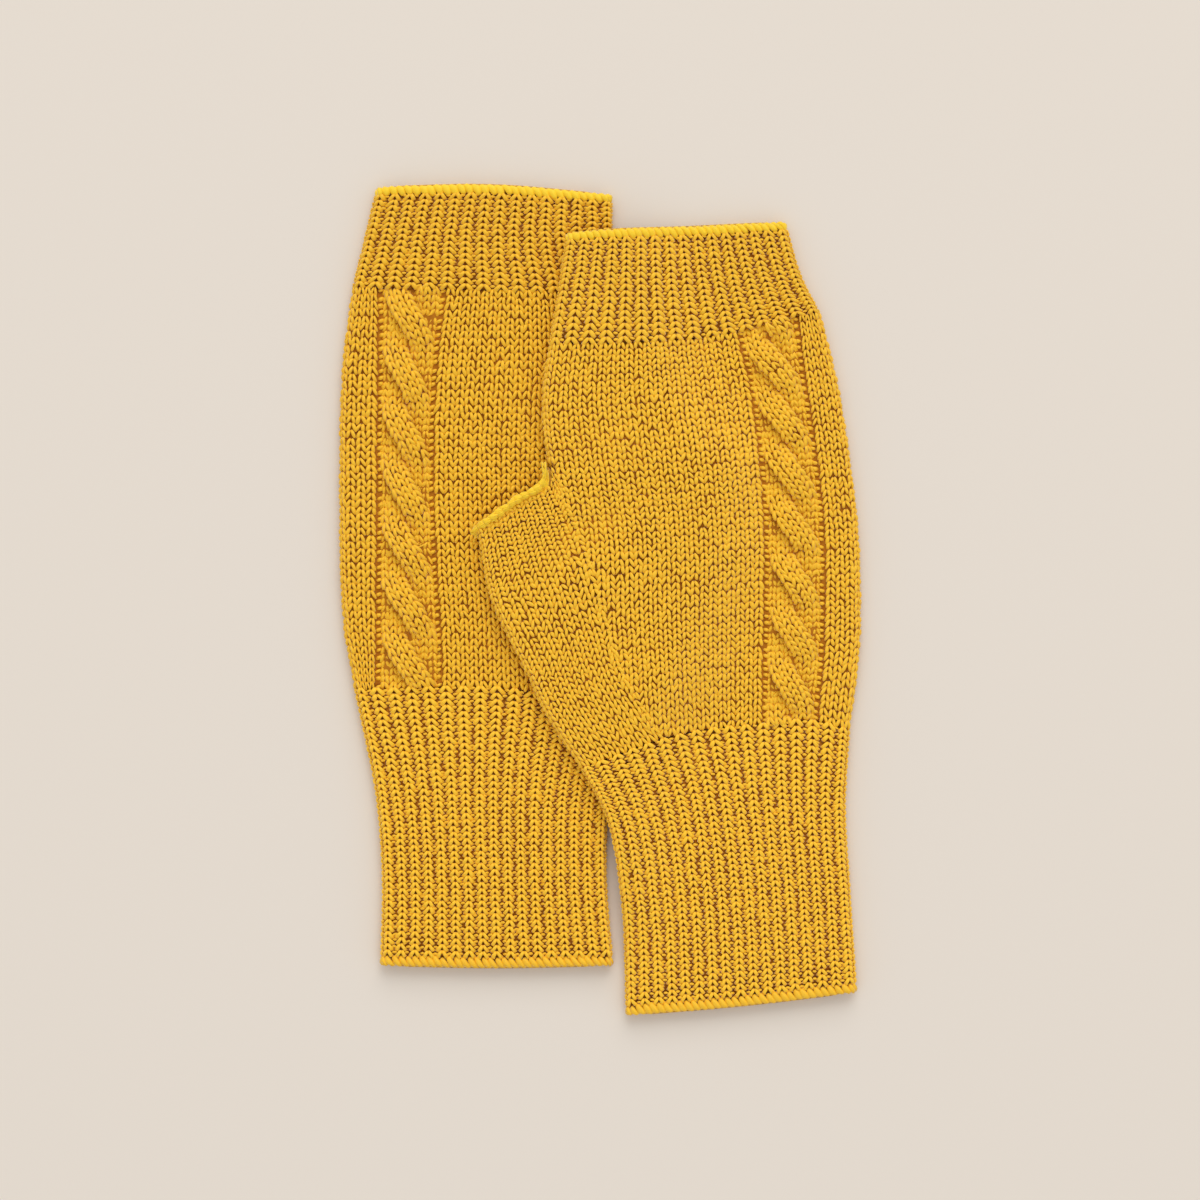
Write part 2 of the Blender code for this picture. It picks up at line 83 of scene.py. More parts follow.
def lift(side, points):
    """Height of a mitten's underside over the surface at points in plan."""
    points = np.asarray(points, float)
    if side == "left":
        return np.zeros(points.shape[:-1])
    border = np.array(PILE_SIDE)
    gap = distance_to(points, PILE_SIDE)
    edge = np.interp(-points[..., 1], -border[:, 1], border[:, 0])
    gap = np.where(points[..., 0] > edge, gap, -gap)
    down = 1 - smooth((gap + 1.0) / SLOPE_LENGTH)
    fade = 1 - smooth((-73.0 - points[..., 1]) / 40.0)
    return PILE_HEIGHT * down * fade


def swell(side, points):
    """Soft relief of the upper side of a mitten."""
    total = np.zeros(points.shape[:-1])
    for (cx, cy), (along, across), turn, height in SWELLS[side]:
        c, s = math.cos(math.radians(turn)), math.sin(math.radians(turn))
        dx, dy = points[..., 0] - cx, points[..., 1] - cy
        a, b = (dx * c + dy * s) / along, (dy * c - dx * s) / across
        total += height * np.exp(-(a * a + b * b))
    return total


def linear(hex_colour):
    """Linear colour of an sRGB hex value."""
    parts = [int(hex_colour[i:i + 2], 16) / 255 for i in (1, 3, 5)]
    return [c / 12.92 if c <= 0.04045 else ((c + 0.055) / 1.055) ** 2.4 for c in parts] + [1.0]


def add_node(tree, kind, settings, inputs):
    """Adds a node: settings are its properties, inputs are values or the sockets that feed it."""
    node = tree.nodes.new(kind)
    for name, value in settings.items():
        setattr(node, name, value)
    for name, value in inputs.items():
        if isinstance(value, bpy.types.NodeSocket):
            tree.links.new(value, node.inputs[name])
        else:
            node.inputs[name].default_value = value
    return node


def new_material(name):
    material = bpy.data.materials.new(name)
    material.use_nodes = True
    tree = material.node_tree
    return material, tree, tree.nodes["Principled BSDF"]


def knitted_wall(name, light, dark):
    """Knitted wool seen from its flat side: rows of small slanted legs in the bump, with painted
    shade darkening the grooves.
    """
    material, tree, shader = new_material(name)
    place = add_node(tree, "ShaderNodeTexCoord", {}, {}).outputs["Object"]
    axes = add_node(tree, "ShaderNodeSeparateXYZ", {}, {"Vector": place})
    # one wale is 2.9 mm wide, and one row 2.0 mm high
    wale = add_node(tree, "ShaderNodeMath", {"operation": "MULTIPLY"},
                    {0: axes.outputs["X"], 1: 2 * math.pi / 0.0029})
    side = add_node(tree, "ShaderNodeMath", {"operation": "COSINE"}, {0: wale.outputs[0]})
    lean = add_node(tree, "ShaderNodeMath", {"operation": "MULTIPLY"},
                    {0: side.outputs[0], 1: 0.0006})
    along = add_node(tree, "ShaderNodeMath", {"operation": "ADD"},
                     {0: axes.outputs["Y"], 1: lean.outputs[0]})
    row = add_node(tree, "ShaderNodeMath", {"operation": "MULTIPLY"},
                   {0: along.outputs[0], 1: 2 * math.pi / 0.00202})
    wave = add_node(tree, "ShaderNodeMath", {"operation": "SINE"}, {0: row.outputs[0]})
    gap = add_node(tree, "ShaderNodeMath", {"operation": "ABSOLUTE"}, {0: side.outputs[0]})
    height = add_node(tree, "ShaderNodeMath", {"operation": "MULTIPLY_ADD"},
                      {0: wave.outputs[0], 1: 0.5, 2: gap.outputs[0]})
    bump = add_node(tree, "ShaderNodeBump", {},
                    {"Strength": 0.8, "Distance": 0.0005, "Height": height.outputs[0]})
    # painted shade: the colour goes from light to dark where the bump is low, in the grooves
    # between the legs
    groove_shade = add_node(tree, "ShaderNodeMapRange", {},
                    {"Value": height.outputs[0], "From Min": -0.4, "From Max": 1.2})
    colour = add_node(tree, "ShaderNodeMix", {"data_type": "RGBA"}, {0: groove_shade.outputs[0]})
    colour.inputs[6].default_value = linear(dark)
    colour.inputs[7].default_value = linear(light)
    tree.links.new(colour.outputs[2], shader.inputs["Base Color"])
    tree.links.new(bump.outputs[0], shader.inputs["Normal"])
    shader.inputs["Roughness"].default_value = 0.92
    shader.inputs["Sheen Weight"].default_value = 0.2
    return material


def painted_shade_yarn(name, light, dark):
    """The same yarn deep between the stitches, painted darker as painted shade for the little light
    off other yarn that gets in there.
    """
    material, tree, shader = new_material(name)
    place = add_node(tree, "ShaderNodeTexCoord", {}, {}).outputs["Object"]
    cloud = add_node(tree, "ShaderNodeTexNoise", {},
                     {"Vector": place, "Scale": 700.0, "Detail": 2.0})
    colour = add_node(tree, "ShaderNodeMix", {"data_type": "RGBA"}, {0: cloud.outputs["Fac"]})
    colour.inputs[6].default_value = linear(dark)
    colour.inputs[7].default_value = linear(light)
    tree.links.new(colour.outputs[2], shader.inputs["Base Color"])
    shader.inputs["Roughness"].default_value = 0.95
    return material


wall_finish = {"left": knitted_wall("knitted_yarn_groove_shade_left", "#F2BA2C", "#C48A18"),
               "right": knitted_wall("knitted_yarn_groove_shade_right", "#F4BC2E", "#C68C1A")}
# painted shade: a darker brown copy of the yarn for the fabric that shows deep between the stitches
painted_shade_finish = {"left": painted_shade_yarn("yarn_painted_shade_between_stitches_left", "#C27A06", "#A46204"),
               "right": painted_shade_yarn("yarn_painted_shade_between_stitches_right", "#C47C08", "#A66406")}


def fabric_wall(side, node, name, sink):
    """Closed wall on the form of a solid, drawn in under the stitches that lie over it."""
    bm = bmesh.new()
    bm.from_mesh(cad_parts[node].data)
    bmesh.ops.remove_doubles(bm, verts=bm.verts, dist=0.00001)
    bm.normal_update()
    tree = BVHTree.FromBMesh(bm)
    moves = []
    for vert in bm.verts:
        start = vert.co + vert.normal * 0.0002
        hit = tree.ray_cast(start, vert.normal, 0.2)[0]
        up = max(0.0, min(1.0, (vert.normal.z + 0.75) / 0.5))
        way = vert.normal.copy()
        if any(abs(face.normal.y) > 0.8 for face in vert.link_faces):
            way.y = 0.0
            way.normalize()
        moves.append(way * (0.0 if hit else sink * MM * up))
    for vert, move in zip(list(bm.verts), moves):
        vert.co -= move
        vert.tag = move.length > 0.5 * sink * MM
    plan = np.array([(v.co.x / MM, v.co.y / MM) for v in bm.verts])
    base, hills = lift(side, plan), swell(side, plan)
    highest = HAND_HEIGHT - YARN_SINK - CABLE_BED
    for vert, low, hill in zip(bm.verts, base, hills):
        over = vert.co.z / MM - low
        if vert.tag and over > UPPER_LAYER:
            vert.co.z = (low + min(over, highest) + hill) * MM
    for face in bm.faces:
        face.smooth = True
        # faces drawn in under the stitches take the second slot, the painted shade; the others take
        # the knitted wall
        face.material_index = 1 if all(v.tag for v in face.verts) and "edge" not in node else 0
    mesh = bpy.data.meshes.new(name)
    bm.to_mesh(mesh)
    bm.free()
    obj = bpy.data.objects.new(name, mesh)
    bpy.context.scene.collection.objects.link(obj)
    return obj


fabric = {}
for side in ("left", "right"):
    for part in NODES:
        node = side + "_" + part
        sink = YARN_SINK if part in ("hand", "wrist_cuff", "finger_cuff") else EDGE_SINK
        wall = fabric_wall(side, node, node + "_fabric", sink)
        wall.data.materials.append(wall_finish[side])
        wall.data.materials.append(painted_shade_finish[side])
        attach(wall, "root")
        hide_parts(node)
        fabric[node] = wall


# ---- Stitches of the palms and the thumb gussets ----
# Stocking stitch: each stitch shows two plump legs.  They meet towards the fingers, as in knitting
# that was begun there.  The yarn is about 1.2 mm thick.
WALE = 2.9            # width of a stitch
ROW = 2.02            # height of a row
ROW_STEPS = 161       # points on the curve of one key row
FOLD_END = 2.6        # turn of a side fold in radians, past which it goes almost straight on
YARN_FLAT = 0.92      # height of the yarn over its width
# Rows of knitting from the wrist to the fingers, in millimetres: outer fold, outer furrow of the
# cable, inner furrow, middle of the palm, start of the thumb gusset, fold of the gusset
LEFT_ROWS = [
    [(-75.7, -27.4), (-68.1, -27.4), (-49.4, -26.8), (-30.4, -27.1), (-20.0, -28.6), (11.5, -36.3)],
    [(-79.1, -7.2), (-67.8, -7.5), (-49.7, -7.5), (-26.5, -7.2), (-7.2, -7.5), (21.0, -18.5)],
    [(-80.0, 9.0), (-67.8, 8.7), (-50.9, 8.7), (-25.6, 8.7), (-0.8, 8.4), (25.9, -4.7)],
    [(-80.3, 32.3), (-67.5, 32.0), (-51.9, 32.0), (-24.0, 32.3), (3.8, 32.0), (33.8, 15.8)],
    [(-80.0, 58.6), (-67.5, 58.3), (-51.6, 58.0), (-19.7, 56.8), (13.3, 57.7)],
    [(-79.1, 75.1), (-67.2, 74.8), (-50.6, 74.8), (-19.1, 74.5), (13.6, 74.2)],
    [(-76.3, 96.2), (-67.2, 95.9), (-47.9, 95.6), (-21.3, 94.7), (9.9, 93.8)],
]
RIGHT_ROWS = [
    [(77.0, -40.2), (65.9, -37.2), (50.6, -38.1), (33.9, -39.7), (19.8, -42.6), (-6.0, -51.6)],
    [(80.0, -15.1), (67.8, -16.7), (50.9, -18.2), (28.2, -19.5), (7.4, -22.2), (-17.0, -34.7)],
    [(80.3, 1.4), (68.1, 0.2), (51.3, -1.4), (26.8, -3.5), (2.3, -6.0), (-23.1, -21.6)],
    [(79.4, 24.6), (67.8, 23.4), (51.3, 22.2), (23.4, 19.7), (-4.4, 17.0), (-32.9, -1.7)],
    [(76.0, 50.6), (65.0, 49.4), (49.4, 47.6), (17.0, 43.6), (-16.1, 41.8)],
    [(73.0, 68.1), (62.3, 66.9), (47.0, 64.7), (14.8, 61.4), (-17.9, 58.3)],
    [(67.8, 88.6), (59.8, 87.1), (43.0, 82.5), (13.9, 78.8), (-15.8, 78.2)],
]
LEFT_RIM = [(11.4, 55.1), (11.1, 52.0), (11.6, 49.6), (14.0, 47.0), (19.7, 44.7),
            (27.7, 40.8), (34.5, 37.1), (36.4, 36.1)]
RIGHT_RIM = [(-13.9, 39.3), (-13.3, 36.3), (-13.6, 33.8), (-15.8, 31.1), (-21.3, 28.3),
             (-28.9, 23.7), (-35.3, 19.4), (-37.2, 18.2)]
HOLD_ROWS = {"left": LEFT_ROWS, "right": RIGHT_ROWS}
RIMS = {"left": LEFT_RIM, "right": RIGHT_RIM}
CROTCH_ROW = {"left": 40, "right": 43}     # rows of knitting from the wrist to the thumb's crotch
TOP_ROW = {"left": 57, "right": 61}        # and to the ribs of the fingers
# where the upright wales of the palm would end if the thumb gusset did not cut them off
PALM_END = {"left": [(12.3, -33.0), (12.0, -9.0), (12.3, 8.2), (13.0, 32.0)],
            "right": [(-7.0, -47.6), (-9.4, -26.4), (-11.2, -9.0), (-12.4, 17.6)]}


def through(knots, values, at):
    """Smooth curve through the values at the knots, read at each number in at."""
    knots = np.asarray(knots, float)
    values = np.asarray(values, float)
    at = np.atleast_1d(np.asarray(at, float))
    slope = np.gradient(values, knots, axis=0)
    i = np.clip(np.searchsorted(knots, at, side="right") - 1, 0, len(knots) - 2)
    step = (knots[i + 1] - knots[i])[:, None]
    t = (at[:, None] - knots[i][:, None]) / step
    a = 2 * t ** 3 - 3 * t ** 2 + 1
    b = t ** 3 - 2 * t ** 2 + t
    c = -2 * t ** 3 + 3 * t ** 2
    d = t ** 3 - t ** 2
    return a * values[i] + b * step * slope[i] + c * values[i + 1] + d * step * slope[i + 1]


def chord_lengths(points):
    points = np.asarray(points, float)
    steps = np.linalg.norm(np.diff(points, axis=0), axis=1)
    return np.concatenate([[0.0], np.cumsum(steps)])


class Row:
    """One row of knitting as a curve in plan, read by its length from the outer fold."""

    def __init__(self, keys):
        knots = chord_lengths(keys)
        steps = np.linspace(0, knots[-1], ROW_STEPS)
        self.points = through(knots, keys, steps)
        self.run = chord_lengths(self.points)
        self.length = self.run[-1]
        self.key_run = np.interp(knots, steps, self.run)

    def at(self, lengths):
        x = np.interp(lengths, self.run, self.points[:, 0])
        y = np.interp(lengths, self.run, self.points[:, 1])
        return np.stack([x, y], axis=-1)


class Chart:
    """Surface of a part of the knitting in millimetres, read by wale and by row."""

    def __init__(self, first_wale, last_wale, first_row, last_row, make, fine=(4, 3)):
        self.wales = np.linspace(first_wale, last_wale, int((last_wale - first_wale) * fine[0]) + 1)
        self.rows = np.linspace(first_row, last_row, int((last_row - first_row) * fine[1]) + 1)
        self.points = make(self.wales, self.rows)
        down = np.gradient(self.points, self.rows, axis=0)
        across = np.gradient(self.points, self.wales, axis=1)
        normal = np.cross(across, down)
        normal /= np.linalg.norm(normal, axis=-1)[..., None]
        middle = normal[len(self.rows) // 2, len(self.wales) // 2]
        self.normals = normal * (1 if middle[2] > 0 else -1)

    def at(self, wale, row):
        """Points and normals, with the surface carried on straight past its border."""
        a = (wale - self.wales[0]) / (self.wales[1] - self.wales[0])
        b = (row - self.rows[0]) / (self.rows[1] - self.rows[0])
        i = np.clip(np.floor(a).astype(int), 0, len(self.wales) - 2)
        j = np.clip(np.floor(b).astype(int), 0, len(self.rows) - 2)
        s, t = (a - i)[:, None], (b - j)[:, None]
        found = []
        for grid in (self.points, self.normals):
            low = grid[j, i] * (1 - s) + grid[j, i + 1] * s
            high = grid[j + 1, i] * (1 - s) + grid[j + 1, i + 1] * s
            found.append(low * (1 - t) + high * t)
        return found


def round_fold(past, r):
    """Way out in plan and height of cloth that has gone past the start of a fold of radius r."""
    turn = np.maximum(past / r, 0.0)
    turn = np.where(turn > FOLD_END, FOLD_END + 0.02 * (turn - FOLD_END), turn)
    return r * np.sin(turn), r + r * np.cos(turn)


def row_chart(side, key_rows, key_levels, spans, wales, rows, height, wide=WALE, relief=None):
    """Points of a chart: spans give for each key row the plan lengths of chosen wales, and a wale
    past the start of a fold goes round it.  relief is added over the plain surface."""
    r = height / 2
    plans = []
    for row, (marks, lengths, fold_low, fold_high) in zip(key_rows, spans):
        flat = np.interp(wales, marks, lengths)
        if fold_low is not None:
            out, _ = round_fold((fold_low - wales) * wide, r)
            flat = np.where(wales < fold_low, r - out, flat)
        if fold_high is not None:
            out, _ = round_fold((wales - fold_high) * wide, r)
            flat = np.where(wales > fold_high, row.length - r + out, flat)
        plans.append(row.at(flat))
    grid = through(key_levels, np.array(plans).reshape(len(plans), -1), rows)
    plan = grid.reshape(len(rows), len(wales), 2)
    fold_low, fold_high = spans[-1][2], spans[-1][3]
    top = np.full(len(wales), height)
    start = np.arange(len(wales))
    if fold_low is not None:
        _, z = round_fold((fold_low - wales) * wide, r)
        top = np.where(wales < fold_low, z, top)
        start = np.where(wales < fold_low, int(np.argmin(abs(wales - fold_low))), start)
    if fold_high is not None:
        _, z = round_fold((wales - fold_high) * wide, r)
        top = np.where(wales > fold_high, z, top)
        start = np.where(wales > fold_high, int(np.argmin(abs(wales - fold_high))), start)
    base = lift(side, plan[:, start])
    z = base + top + swell(side, plan) * smooth((top - r) / r)
    if relief is not None:
        z = z + relief(wales[None, :], rows[:, None]) * smooth((top - r) / r)
    return np.concatenate([plan, z[..., None]], axis=-1)


def leg(bm, top, foot, radius, dip, around=6, rings=5, blunt=0.7):
    """One leg of a stitch, a plump grain of yarn: top and foot in millimetres, ends dip under."""
    grain = bmesh.ops.create_uvsphere(bm, u_segments=around, v_segments=rings, radius=1.0,
                                      calc_uvs=True)
    top, foot = np.array(top, float), np.array(foot, float)
    way = (top - foot) / 2
    across = np.array([way[1], -way[0]]) / np.linalg.norm(way)
    for vert in grain["verts"]:
        x, y, s = vert.co
        ring = math.hypot(x, y)
        turn = math.atan2(y, x)
        fat = radius * ring ** blunt if ring > 0.001 else 0.0
        middle = (top + foot) / 2 + way * s * (1.0 + 0.1 * abs(s))
        spot = middle + across * fat * math.cos(turn)
        deep = -radius * YARN_FLAT - dip * abs(s) ** 2.5
        vert.co = Vector((spot[0], spot[1], deep + fat * math.sin(turn) * YARN_FLAT))


def leg_pair(middle, top, foot, **shape):
    """The two legs of a stitch, mirrored about its middle, with their ends measured from there."""
    return [dict(top=(middle[0] + hand * top[0], middle[1] + top[1]),
                 foot=(middle[0] + hand * foot[0], middle[1] + foot[1]), **shape)
            for hand in (1, -1)]


def stitch_mesh(name, legs, wale, row):
    """Mesh of one stitch in units of a wale and a row, its height in millimetres."""
    bm = bmesh.new()
    bm.loops.layers.uv.verify()
    for args in legs:
        leg(bm, **args)
    bmesh.ops.recalc_face_normals(bm, faces=bm.faces)
    bmesh.ops.scale(bm, vec=(1 / wale, 1 / row, 1.0), verts=bm.verts)
    for face in bm.faces:
        face.smooth = True
    mesh = bpy.data.meshes.new(name)
    bm.to_mesh(mesh)
    bm.free()
    return mesh


def knit(name, unit, chart, first_wale, wales, first_row, rows, keep=None, seed=1, uneven=1.0):
    """Lays copies of one stitch on a chart, wale by wale and row by row, as one joined mesh."""
    obj = bpy.data.objects.new(name, unit.copy())
    bpy.context.scene.collection.objects.link(obj)
    for axis, count in ((0, wales), (1, rows)):
        array = obj.modifiers.new("rows", "ARRAY")
        array.count = count
        array.use_relative_offset = False
        array.use_constant_offset = True
        array.constant_offset_displace = (float(axis == 0), float(axis == 1), 0.0)
    graph = bpy.context.evaluated_depsgraph_get()
    mesh = bpy.data.meshes.new_from_object(obj.evaluated_get(graph))
    obj.modifiers.clear()
    obj.data = mesh
    each = len(unit.vertices)
    co = np.empty(len(mesh.vertices) * 3)
    mesh.vertices.foreach_get("co", co)
    co = co.reshape(rows, wales, each, 3)
    rng = np.random.default_rng(seed)
    drift = np.cumsum(rng.normal(0, 0.002, (rows, wales)), axis=0)
    shake = rng.normal(0, 1, (6, rows, wales)) * uneven
    wale = co[..., 0] - (np.arange(wales)[None, :, None] + 0.5)
    row = co[..., 1] - (np.arange(rows)[:, None, None] + 0.5)
    size = (1 + 0.06 * shake[0])[..., None]
    lean = (0.09 * shake[1])[..., None]
    cell_wale = np.arange(wales)[None, :, None] + 0.5 + first_wale
    cell_row = np.arange(rows)[:, None, None] + 0.5 + first_row
    w = wale * size + row * lean + cell_wale + (drift * uneven + 0.03 * shake[2])[..., None]
    v = row * size + cell_row + (0.07 * shake[3])[..., None]
    # one leg of a stitch often lies a little higher than the other
    up = co[..., 2] * size + (0.07 * shake[4])[..., None] + wale * (0.35 * shake[5])[..., None]
    point, normal = chart.at(w.ravel(), v.ravel())
    spot = point + normal * up.ravel()[:, None]
    mesh.vertices.foreach_set("co", (spot * MM).ravel())
    mesh.update()
    if keep is not None:
        cw, cv = np.broadcast_arrays(cell_wale[..., 0], cell_row[..., 0])
        centre, _ = chart.at(cw.ravel(), cv.ravel())
        stay = keep(centre, cw.ravel(), cv.ravel())
        if not stay.all():
            bm = bmesh.new()
            bm.from_mesh(mesh)
            bm.verts.ensure_lookup_table()
            lost = np.repeat(~stay, each)
            bmesh.ops.delete(bm, geom=[bm.verts[i] for i in np.flatnonzero(lost)], context="VERTS")
            bm.to_mesh(mesh)
            bm.free()
    return obj


PLY_CRESTS = 1.7      # crests of its two plies that one leg of a stitch shows along its length


def yarn(name, light, dark):
    """Two ply wool yarn: matt, with a soft twist and cloudy dye."""
    material, tree, shader = new_material(name)
    coords = add_node(tree, "ShaderNodeTexCoord", {}, {})
    axes = add_node(tree, "ShaderNodeSeparateXYZ", {}, {"Vector": coords.outputs["UV"]})
    twist = add_node(tree, "ShaderNodeMath", {"operation": "MULTIPLY"},
                     {0: axes.outputs["Y"], 1: PLY_CRESTS * 2 * math.pi})
    round_yarn = add_node(tree, "ShaderNodeMath", {"operation": "MULTIPLY_ADD"},
                          {0: axes.outputs["X"], 1: 4 * math.pi, 2: twist.outputs[0]})
    ply = add_node(tree, "ShaderNodeMath", {"operation": "SINE"}, {0: round_yarn.outputs[0]})
    fibre = add_node(tree, "ShaderNodeTexNoise", {},
                     {"Vector": coords.outputs["Object"], "Scale": 5000.0, "Detail": 2.0})
    height = add_node(tree, "ShaderNodeMath", {"operation": "MULTIPLY_ADD"},
                      {0: ply.outputs[0], 1: 0.5, 2: fibre.outputs["Fac"]})
    bump = add_node(tree, "ShaderNodeBump", {},
                    {"Strength": 0.5, "Distance": 0.00012, "Height": height.outputs[0]})
    cloud = add_node(tree, "ShaderNodeTexNoise", {},
                     {"Vector": coords.outputs["Object"], "Scale": 420.0, "Detail": 3.0})
    colour = add_node(tree, "ShaderNodeMix", {"data_type": "RGBA"}, {0: cloud.outputs["Fac"]})
    colour.inputs[6].default_value = linear(dark)
    colour.inputs[7].default_value = linear(light)
    tree.links.new(colour.outputs[2], shader.inputs["Base Color"])
    tree.links.new(bump.outputs[0], shader.inputs["Normal"])
    shader.inputs["Roughness"].default_value = 0.62
    shader.inputs["Sheen Weight"].default_value = 0.45
    shader.inputs["Sheen Roughness"].default_value = 0.35
    return material


yarn_finish = {"left": yarn("mustard_yarn_left", "#FFCA22", "#F0B412"),
               "right": yarn("mustard_yarn_right", "#FFCB24", "#F1B614")}


def finish_stitches(obj, side, finish=None):
    obj.data.materials.clear()
    obj.data.materials.append((finish or yarn_finish)[side])
    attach(obj, "root")


plain_stitch = stitch_mesh("plain_stitch", leg_pair(
    (WALE / 2, ROW / 2), (0.09 * WALE, 0.62 * ROW), (0.44 * WALE, -0.62 * ROW),
    radius=0.63, dip=0.5), WALE, ROW)


def hand_levels(side):
    """Row numbers of the key rows of a hand, by their distance along its cable."""
    rows = [Row(keys) for keys in HOLD_ROWS[side]]
    middle = [row.at((row.key_run[1] + row.key_run[2]) / 2) for row in rows]
    run = chord_lengths(middle)
    crotch, top = CROTCH_ROW[side], TOP_ROW[side]
    return rows, np.where(run <= run[4], run / run[4] * crotch,
                          crotch + (run - run[4]) / (run[-1] - run[4]) * (top - crotch))


GUTTER = 1.1          # half the width of the purled column on each side of the cable
PALM_WALES = 21
GUSSET_WALES = 10
palm_charts = {}
gusset_charts = {}
for side in ("left", "right"):
    _, levels = hand_levels(side)
    rows = []
    for k, keys in enumerate(HOLD_ROWS[side]):
        if k < 4:
            keys = keys[:4] + [PALM_END[side][k]]
        rows.append(Row(keys[:5]))
    spans = []
    for row in rows:
        start = row.key_run[2] + GUTTER
        end = row.length - HAND_HEIGHT / 2
        spans.append(([0, PALM_WALES], [start, end], None, PALM_WALES))
    palm_charts[side] = Chart(0, PALM_WALES + 2, 0, TOP_ROW[side], lambda w, v: row_chart(
        side, rows, levels, spans, w, v, HAND_HEIGHT))
    gusset_rows = [Row(keys) for keys in HOLD_ROWS[side][:4]] + [Row(RIMS[side])]
    spans = []
    for k, row in enumerate(gusset_rows):
        start = row.key_run[4] if k < 4 else 4.2
        spans.append(([0, GUSSET_WALES], [start, row.length - HAND_HEIGHT / 2], None, GUSSET_WALES))
    gusset_charts[side] = Chart(0, GUSSET_WALES + 2, 0, CROTCH_ROW[side], lambda w, v: row_chart(
        side, gusset_rows, levels[:5], spans, w, v, HAND_HEIGHT))


def junction_side(side, points):
    """Signed distance to the line where palm and gusset meet, over nought on the palm."""
    line = gusset_charts[side].points[::6, 0, :2]
    gap = distance_to(points[:, :2], line)
    x = np.interp(points[:, 1], line[:, 1], line[:, 0])
    on_palm = points[:, 0] > x if side == "right" else points[:, 0] < x
    return np.where(on_palm, gap, -gap)


# thumb side of the right mitten, beyond which it covers the left one, in millimetres
COVER_LINE = [(-10.2, 111.5), (-15.8, 78.2), (-17.9, 58.3), (-15.5, 31.5), (-37.0, 19.0),
              (-29.0, -2.0), (-17.0, -34.0), (-4.0, -55.0), (3.5, -78.0), (7.0, -95.0)]
COVER_LOW, COVER_HIGH = -97, 113
COVER_DEPTH = 9.0     # stitches that lie further than this under it are left out


def under_pile(points):
    """True where the left mitten is well covered by the right one."""
    line = np.array(COVER_LINE)
    x = np.interp(points[:, 1], line[::-1, 1], line[::-1, 0])
    covered = (points[:, 0] > x) & (points[:, 1] < COVER_HIGH) & (points[:, 1] > COVER_LOW)
    return covered & (distance_to(points[:, :2], line) > COVER_DEPTH)


def shown_cloth(side):
    """Keeps the stitches of a side that are not covered by the other mitten."""
    if side == "right":
        return None
    return lambda centre, wale, row: ~under_pile(centre)


for side in ("left", "right"):
    crotch = CROTCH_ROW[side]

    def on_palm(centre, wale, row):
        reach = 1.3 + 0.7 * smooth((row - crotch + 12) / 6)
        stay = (junction_side(side, centre) > -reach) | (row > crotch)
        stay &= (wale < PALM_WALES + 1.9 * smooth((row - crotch + 10) / 5)) | (row > crotch)
        return stay if side == "right" else stay & ~under_pile(centre)

    palm = knit(side + "_palm_stitches", plain_stitch, palm_charts[side], 0, PALM_WALES + 2,
                0, TOP_ROW[side], keep=on_palm, seed=3)
    finish_stitches(palm, side)

    def on_gusset(centre, wale, row):
        """The wale nearest the palm shows only at the crotch, where it closes the corner."""
        stay = (wale > 0) | (row > crotch - 3)
        return stay if side == "right" else stay & ~under_pile(centre)

    gusset = knit(side + "_gusset_stitches", plain_stitch, gusset_charts[side],
                  -1, GUSSET_WALES + 3, 0, crotch + 2, keep=on_gusset, seed=5)
    finish_stitches(gusset, side)


# ---- Side panels and purled furrows ----
# Beyond the cable three plain wales go on round the fold of the mitten.  A single purled wale lies
# deep on each side of the cable, so that only its short cross bars show.
FURROW_DEPTH = 0.85
purl_stitch = stitch_mesh("purl_stitch", [
    dict(top=(2.0, 1.4), foot=(0.2, 0.75), radius=0.64, dip=0.3)], 2.2, ROW)

for side in ("left", "right"):
    rows, levels = hand_levels(side)
    inset = HAND_HEIGHT / 2
    spans = [([0, 3], [inset, row.key_run[1] - GUTTER], 0, None) for row in rows]
    chart = Chart(-2, 3, 0, TOP_ROW[side], lambda w, v: row_chart(
        side, rows, levels, spans, w, v, HAND_HEIGHT))
    panel = knit(side + "_side_stitches", plain_stitch, chart, -2, 5, 0, TOP_ROW[side], seed=7)
    finish_stitches(panel, side)
    for name, key in (("outer", 1), ("inner", 2)):
        spans = [([0, 1], [row.key_run[key] - GUTTER, row.key_run[key] + GUTTER], None, None)
                 for row in rows]
        chart = Chart(0, 1, 0, TOP_ROW[side], lambda w, v: row_chart(
            side, rows, levels, spans, w, v, HAND_HEIGHT, relief=lambda wale, row: -FURROW_DEPTH))
        furrow = knit(side + "_" + name + "_furrow", purl_stitch, chart, 0, 1, 0, TOP_ROW[side],
                      seed=9, uneven=1.5)
        finish_stitches(furrow, side)


# ---- Cables ----
# A rope of two strands, three wales each: at every eighth row one strand is crossed over the other,
# always the same way, so the upper strand runs from the lower right to the upper left.
STRAND_WALE = 2.8
STRAND_ROW = 2.2
# how far across the cable a strand lies, and how far it swings over to the other side
STRAND_SIDE, STRAND_SWING = 0.245, 0.51
# way from crossing to crossing in millimetres, place of the first one, and sense of the twist
CABLES = {"left": (17.6, -0.06, -1), "right": (16.5, 0.13, 1)}


